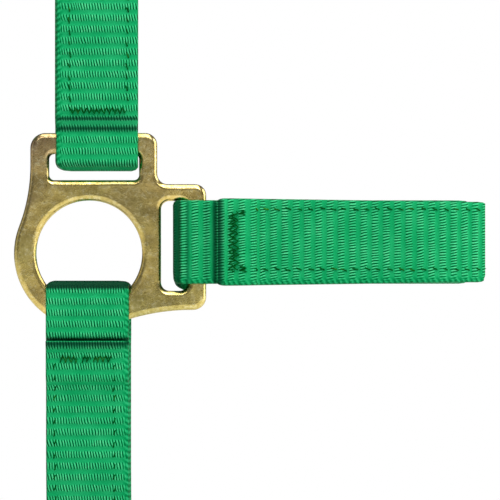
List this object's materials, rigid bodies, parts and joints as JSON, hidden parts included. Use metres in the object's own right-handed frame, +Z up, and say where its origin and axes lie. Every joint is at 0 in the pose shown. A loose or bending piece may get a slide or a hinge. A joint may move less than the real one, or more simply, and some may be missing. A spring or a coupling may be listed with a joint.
{
  "type": "head halter",
  "caption": "Webbing head halter in worn shape: plated side plates, looped and stitched straps, crown buckle, throat snap and a lead ring.",
  "frame": {"origin": "midway between the round rings of the two side plates, on the head's centre plane", "axes": "+X towards the nose, +Y towards the far side, +Z up towards the poll"},
  "size_m": [0.2533, 0.0993, 0.4348],
  "materials": {
    "webbing": "woven green nylon webbing, heavy cross ribs",
    "thread": "dark green bonded thread",
    "plated_stamping": "yellow-plated stamping, satin with faint iridescence",
    "plated_wire": "yellow-plated welded wire",
    "plated_casting": "yellow-plated die casting",
    "spring_steel": "bright spring wire"
  },
  "bodies": {
    "head_frame": {"near_side_plate": "plated_stamping", "far_side_plate": "plated_stamping", "noseband_liner": "webbing", "noseband_overlay": "webbing", "noseband_stitching": "thread", "near_cheek_strap": "webbing", "far_cheek_strap": "webbing", "cheek_stitching": "thread", "near_upper_ring": "plated_wire", "far_upper_ring": "plated_wire"},
    "chin_strap": {"chin_strap_liner": "webbing", "chin_strap_overlay": "webbing", "chin_stitching": "thread"},
    "lead_ring": {"lead_ring": "plated_wire"},
    "crown": {"crown_buckle_tab": "webbing", "crown_buckle_frame": "plated_wire", "crown_strap": "webbing", "crown_eyelets": "plated_stamping", "crown_stitching": "thread"},
    "buckle_tongue": {"crown_buckle_tongue": "plated_wire"},
    "keeper": {"crown_keeper": "webbing"},
    "throat": {"throat_strap": "webbing", "throat_stitching": "thread", "throat_snap_eye": "plated_casting"},
    "snap": {"throat_snap_body": "plated_casting", "throat_snap_spring": "spring_steel"},
    "snap_bolt": {"throat_snap_bolt": "plated_casting"}
  },
  "joints": [
    {"name": "chin_swing", "type": "hinge", "parent": "head_frame", "child": "chin_strap", "pos_m": [0, 0, 0], "axis": [0, 1, 0], "range_deg": [-15, 75]},
    {"name": "lead_ring_tilt", "type": "hinge", "parent": "chin_strap", "child": "lead_ring", "pos_m": [-0.00035, 0, -0.08547], "axis": [1, 0, 0], "range_deg": [-50, 50]},
    {"name": "crown_swing", "type": "hinge", "parent": "head_frame", "child": "crown", "pos_m": [0.0019, 0, 0.15], "axis": [0, 1, 0], "range_deg": [-8, 60]},
    {"name": "buckle_tongue_lift", "type": "hinge", "parent": "crown", "child": "buckle_tongue", "pos_m": [-0.00617, -0.042, 0.20744], "axis": [0.9903, 0, 0.1392], "range_deg": [0, 9]},
    {"name": "keeper_slide", "type": "slide", "parent": "crown", "child": "keeper", "axis": [-0.1392, 0, 0.9903], "range_m": [-0.004, 0.004]},
    {"name": "throat_swing", "type": "hinge", "parent": "head_frame", "child": "throat", "pos_m": [0.0019, 0, 0.15], "axis": [0, 1, 0], "range_deg": [-10, 15]},
    {"name": "snap_swivel", "type": "hinge", "parent": "throat", "child": "snap", "pos_m": [-0.04242, -0.042, 0.14219], "axis": [-0.9848, 0, -0.1736], "range_deg": [-20, 20]},
    {"name": "snap_bolt_slide", "type": "slide", "parent": "snap", "child": "snap_bolt", "axis": [-0.9848, 0, -0.1736], "range_m": [0, 0.006], "stiffness_N_per_m": 150, "springref_m": -0.006, "deforming": ["throat_snap_spring"]}
  ]
}
